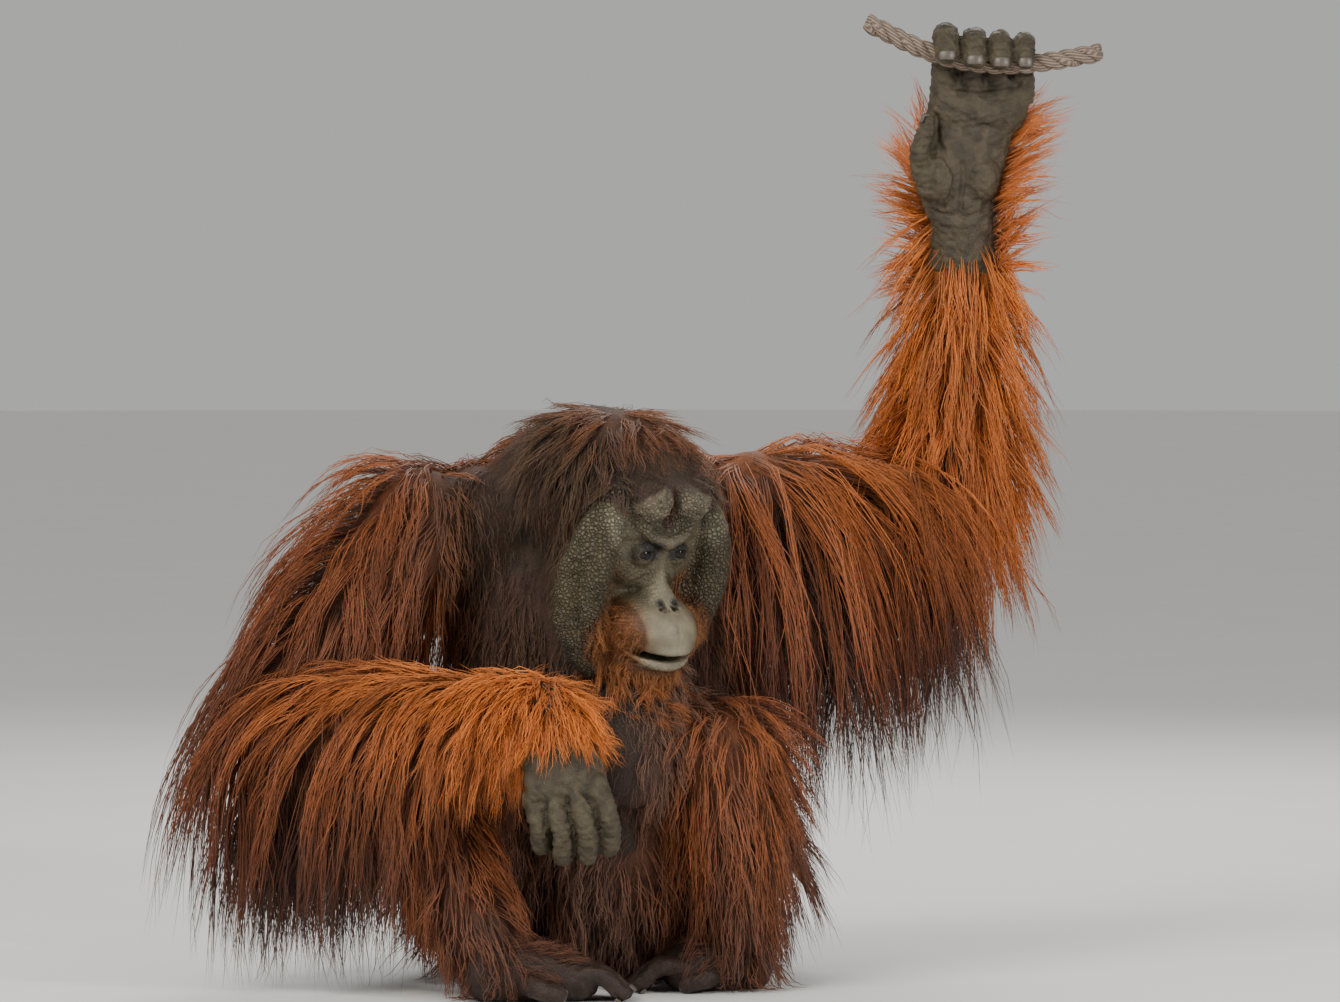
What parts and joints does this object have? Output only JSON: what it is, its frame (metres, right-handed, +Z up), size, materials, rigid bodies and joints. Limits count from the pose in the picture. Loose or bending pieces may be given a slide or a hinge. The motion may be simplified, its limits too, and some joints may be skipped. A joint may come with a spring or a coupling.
{
  "type": "orangutan, seated adult male, still life-size model",
  "caption": "Life-size seated male orangutan with cheek pads and long red coat, left hand hooked over a short cut rope, right hand hanging over the knee.",
  "frame": {"origin": "on the floor under the middle of the seat, between the hips", "axes": "+Z up, -Y the way the chest broadly faces, +X the animal's left, on the side of the raised arm"},
  "size_m": [1.1454, 0.8022, 1.1638],
  "materials": {
    "coat": "long soft hair, red brown to orange",
    "face_skin": "dark grey pebbled skin with a soft gloss",
    "hand_skin": "dark grey creased skin",
    "nail": "dark horn",
    "eye": "wet, glossy brown",
    "rope": "weathered three-strand laid rope"
  },
  "bodies": {
    "root": {"torso": "coat", "rope": "rope", "eye_right": "eye", "eye_left": "eye", "head": "face_skin", "lower_jaw": "coat", "cheek_pad_right": "face_skin", "cheek_pad_left": "face_skin", "ear_right": "face_skin", "ear_left": "face_skin", "neck": "coat", "throat_sac": "face_skin", "upper_arm_right": "coat", "forearm_right": "coat", "hand_right": "hand_skin", "finger_right_1": "hand_skin", "finger_right_2": "hand_skin", "finger_right_3": "hand_skin", "finger_right_4": "hand_skin", "thumb_right": "hand_skin", "upper_arm_left": "coat", "forearm_left": "coat", "hand_left": "hand_skin", "finger_left_1": "hand_skin", "finger_left_2": "hand_skin", "finger_left_3": "hand_skin", "finger_left_4": "hand_skin", "thumb_left": "hand_skin", "thigh_right": "coat", "shank_right": "coat", "foot_right": "hand_skin", "toe_right_1": "hand_skin", "toe_right_2": "hand_skin", "toe_right_3": "hand_skin", "toe_right_4": "hand_skin", "toe_right_5": "hand_skin", "thigh_left": "coat", "shank_left": "coat", "foot_left": "hand_skin", "toe_left_1": "hand_skin", "toe_left_2": "hand_skin", "toe_left_3": "hand_skin", "toe_left_4": "hand_skin", "toe_left_5": "hand_skin"}
  },
  "joints": []
}
